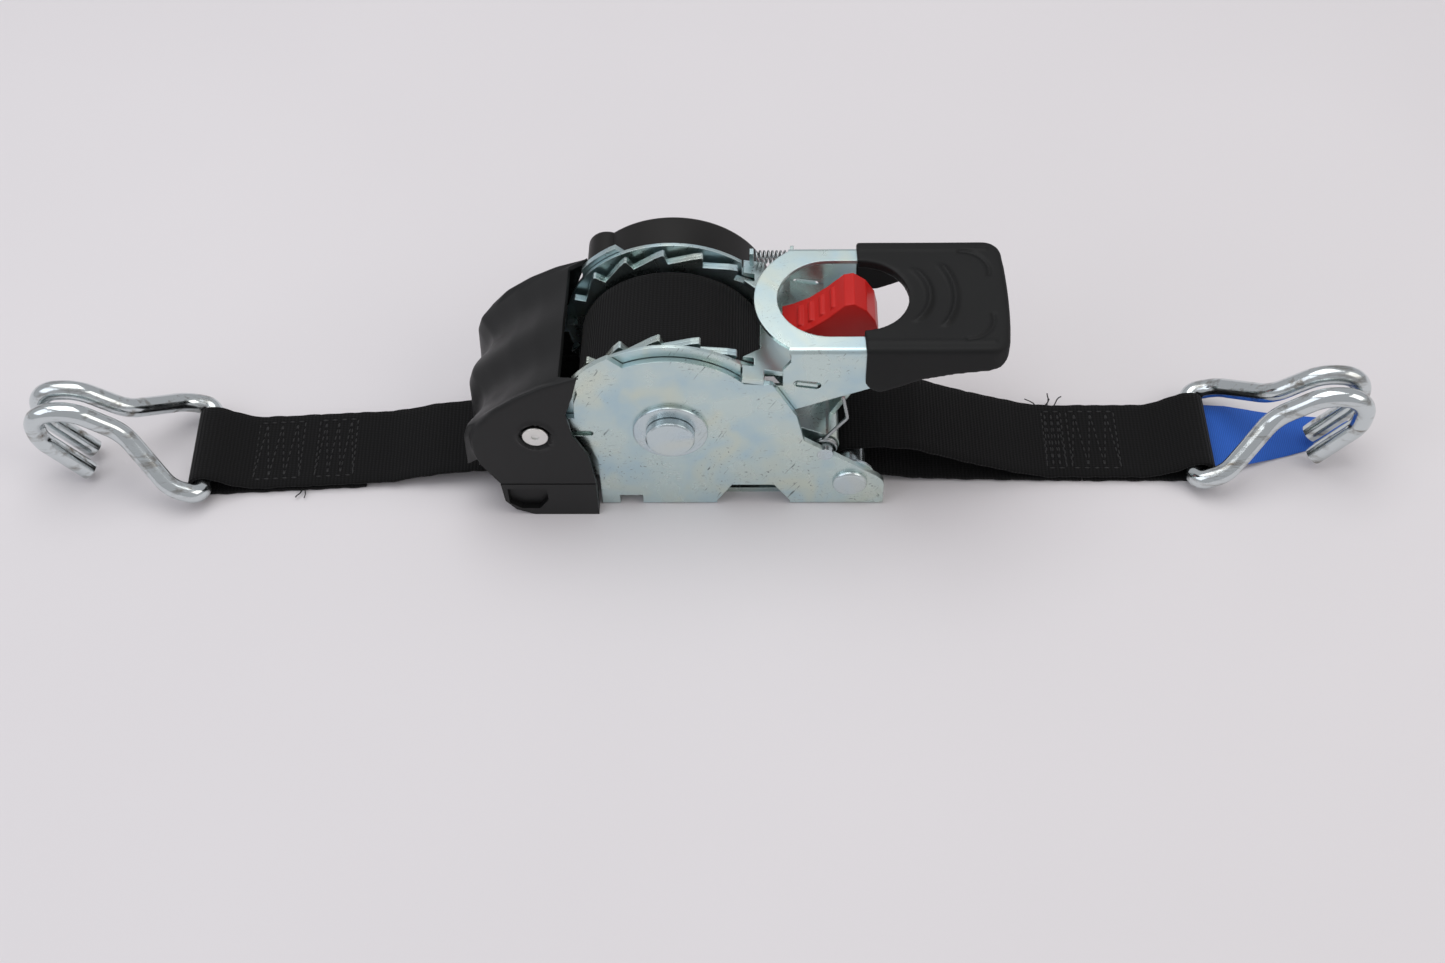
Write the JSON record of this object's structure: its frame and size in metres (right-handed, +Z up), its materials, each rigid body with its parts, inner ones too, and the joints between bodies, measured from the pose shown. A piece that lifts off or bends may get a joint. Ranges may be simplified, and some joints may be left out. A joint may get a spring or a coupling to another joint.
{
  "type": "ratchet tie down",
  "caption": "Self-winding ratchet tie down with a sprung spool, a lever handle with a trigger, and webbing with a wire claw hook at each end",
  "frame": {"origin": "centre of the outer box in plan, on the floor it lies on", "axes": "+X from the payout hook towards the anchor hook, +Y along the spool axle towards the recoil drum, +Z up"},
  "size_m": [0.6856, 0.1078, 0.1186],
  "materials": {
    "zinc_plate": "satin zinc plate with faint scratches",
    "zinc_wire": "bright zinc plated wire",
    "pin_steel": "turned and zinc plated",
    "spring_steel": "drawn wire",
    "rivet_aluminium": "plain",
    "guard_plastic": "fine textured black",
    "drum_plastic": "satin black",
    "hub_plastic": "dark grey",
    "grip_rubber": "matte black",
    "trigger_plastic": "satin red",
    "webbing": "ribbed polyester webbing",
    "tag_cloth": "woven blue"
  },
  "bodies": {
    "frame": {"frame": "zinc_plate", "axle_bushes": "pin_steel", "guard_hood": "guard_plastic", "guard_base": "guard_plastic", "guard_rivet_rod": "rivet_aluminium", "guide_roller": "hub_plastic", "recoil_plate": "zinc_plate", "recoil_cover": "drum_plastic", "recoil_screws": "pin_steel", "recoil_spring": "spring_steel", "cross_pin": "pin_steel", "cross_sleeve": "pin_steel", "cross_washers": "pin_steel", "holding_pin": "pin_steel", "holding_spring": "spring_steel"},
    "spool": {"spool_axle": "pin_steel", "spool_core": "pin_steel", "ratchet_wheel_near_outer": "zinc_plate", "ratchet_wheel_near_inner": "zinc_plate", "ratchet_wheel_far_inner": "zinc_plate", "ratchet_wheel_far_outer": "zinc_plate", "webbing_roll": "webbing", "recoil_hub": "hub_plastic"},
    "handle": {"handle_frame": "zinc_plate", "handle_grip": "grip_rubber", "pawl_bracket": "zinc_plate", "pawl_spring": "spring_steel"},
    "drive_pawl": {"drive_pawl": "zinc_plate", "trigger": "trigger_plastic", "trigger_rivets": "pin_steel"},
    "holding_pawl": {"holding_pawl": "zinc_plate"},
    "payout_strap": {"payout_strap": "webbing"},
    "payout_hook": {"payout_hook": "zinc_wire"},
    "anchor_strap": {"anchor_strap": "webbing", "label_tag": "tag_cloth"},
    "anchor_hook": {"anchor_hook": "zinc_wire"}
  },
  "joints": [
    {"name": "handle_swing", "type": "hinge", "parent": "frame", "child": "handle", "pos_m": [-0.01203, -0.0086, 0.0597], "axis": [0, -1, 0], "range_deg": [0, 64]},
    {"name": "pawl_slide", "type": "slide", "parent": "handle", "child": "drive_pawl", "axis": [0.9848, 0, -0.1736], "range_m": [0, 0.008], "stiffness_N_per_m": 900, "springref_m": -0.004, "deforming": ["pawl_spring"]},
    {"name": "holding_pawl_swing", "type": "hinge", "parent": "frame", "child": "holding_pawl", "pos_m": [0.06397, -0.0086, 0.04], "axis": [0, 1, 0], "range_deg": [0, 18], "stiffness_Nm_per_rad": 0.4, "springref_deg": -17.19},
    {"name": "payout_slide", "type": "slide", "parent": "frame", "child": "payout_strap", "axis": [-1, 0, 0], "range_m": [0, 0.04]},
    {"name": "spool_spin", "type": "hinge", "parent": "frame", "child": "spool", "pos_m": [-0.01203, -0.0086, 0.0597], "axis": [0, 1, 0], "range_deg": [-2, 49]},
    {"name": "payout_hook_swing", "type": "hinge", "parent": "payout_strap", "child": "payout_hook", "pos_m": [-0.25847, -0.01706, 0.0079], "axis": [-0.0593, 0.9982, 0], "range_deg": [0, 75]},
    {"name": "anchor_strap_swing", "type": "hinge", "parent": "frame", "child": "anchor_strap", "pos_m": [0.07677, -0.0086, 0.0184], "axis": [0, -1, 0], "range_deg": [0, 25]},
    {"name": "anchor_hook_swing", "type": "hinge", "parent": "anchor_strap", "child": "anchor_hook", "pos_m": [0.25587, -0.0086, 0.0079], "axis": [-0.0698, -0.9976, 0], "range_deg": [0, 75]}
  ],
  "couplings": [
    {"joint": "spool_spin", "follows": "payout_slide", "rad_per_m": 20.408}
  ]
}
